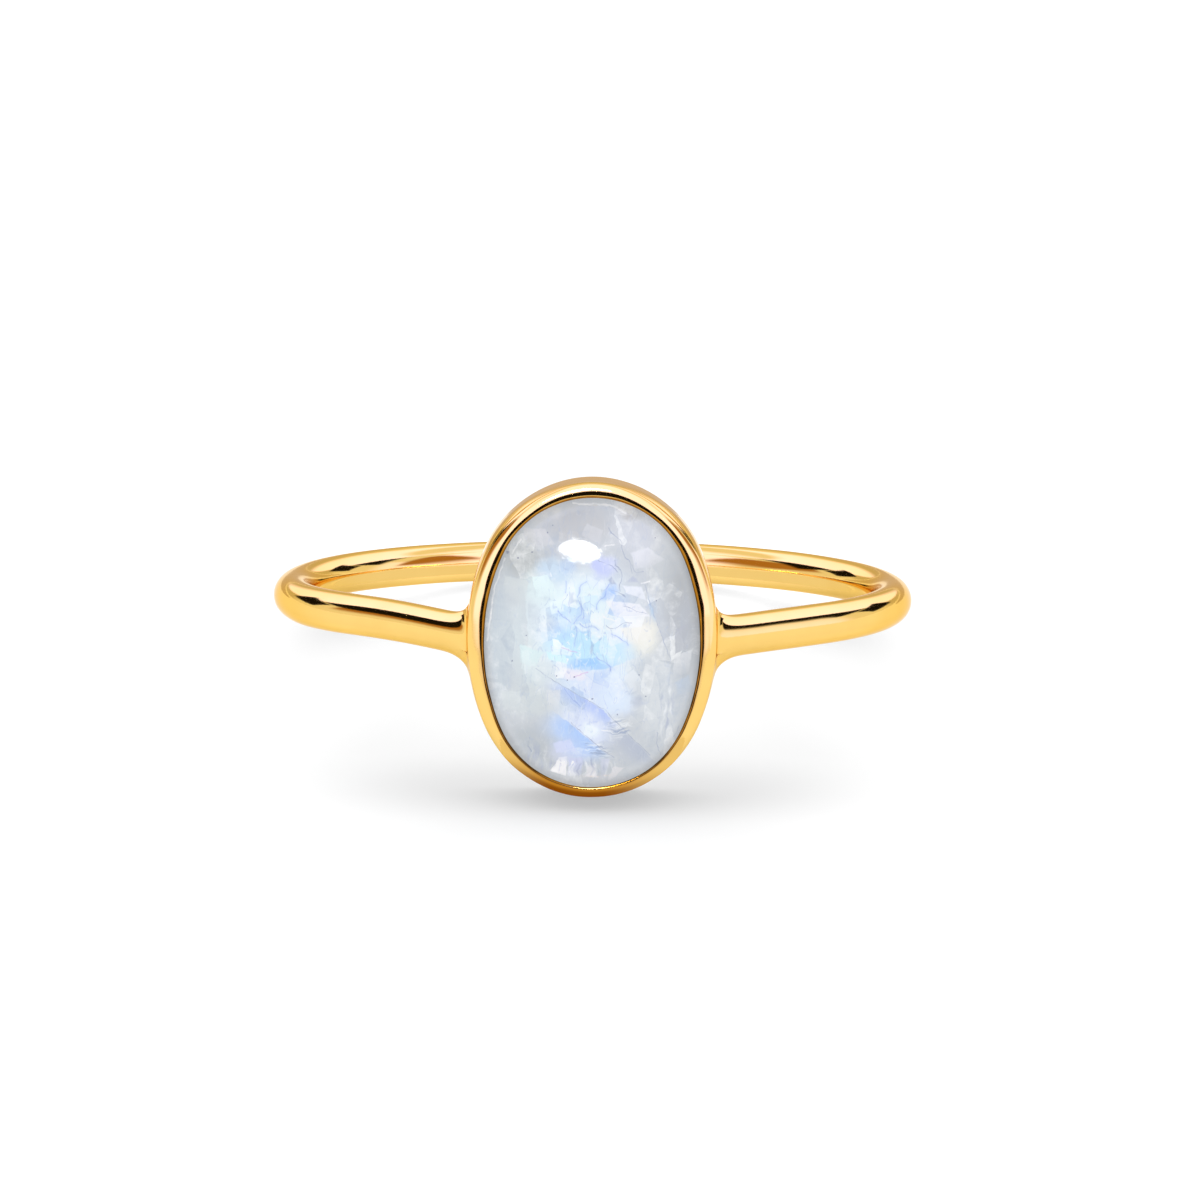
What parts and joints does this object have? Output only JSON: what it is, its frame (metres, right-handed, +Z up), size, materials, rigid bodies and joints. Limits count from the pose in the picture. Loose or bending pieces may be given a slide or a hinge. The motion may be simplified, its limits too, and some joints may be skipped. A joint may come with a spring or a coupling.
{
  "type": "moonstone ring",
  "caption": "Finger ring: a slim round-wire band soldered to an oval cup setting, whose rounded rim holds a milky, blue-flashing moonstone cabochon.",
  "frame": {"origin": "bottom centre of the ring's box as it rests on a surface", "axes": "+Z up, -Y the way the stone faces, +X to the right of someone who looks at the stone"},
  "size_m": [0.02, 0.0222, 0.0097],
  "materials": {
    "gold": "polished yellow gold over silver",
    "moonstone": "polished, milky, with a blue sheen and fine inner cracks"
  },
  "bodies": {
    "root": {"band_and_bezel": "gold", "moonstone": "moonstone"}
  },
  "joints": []
}
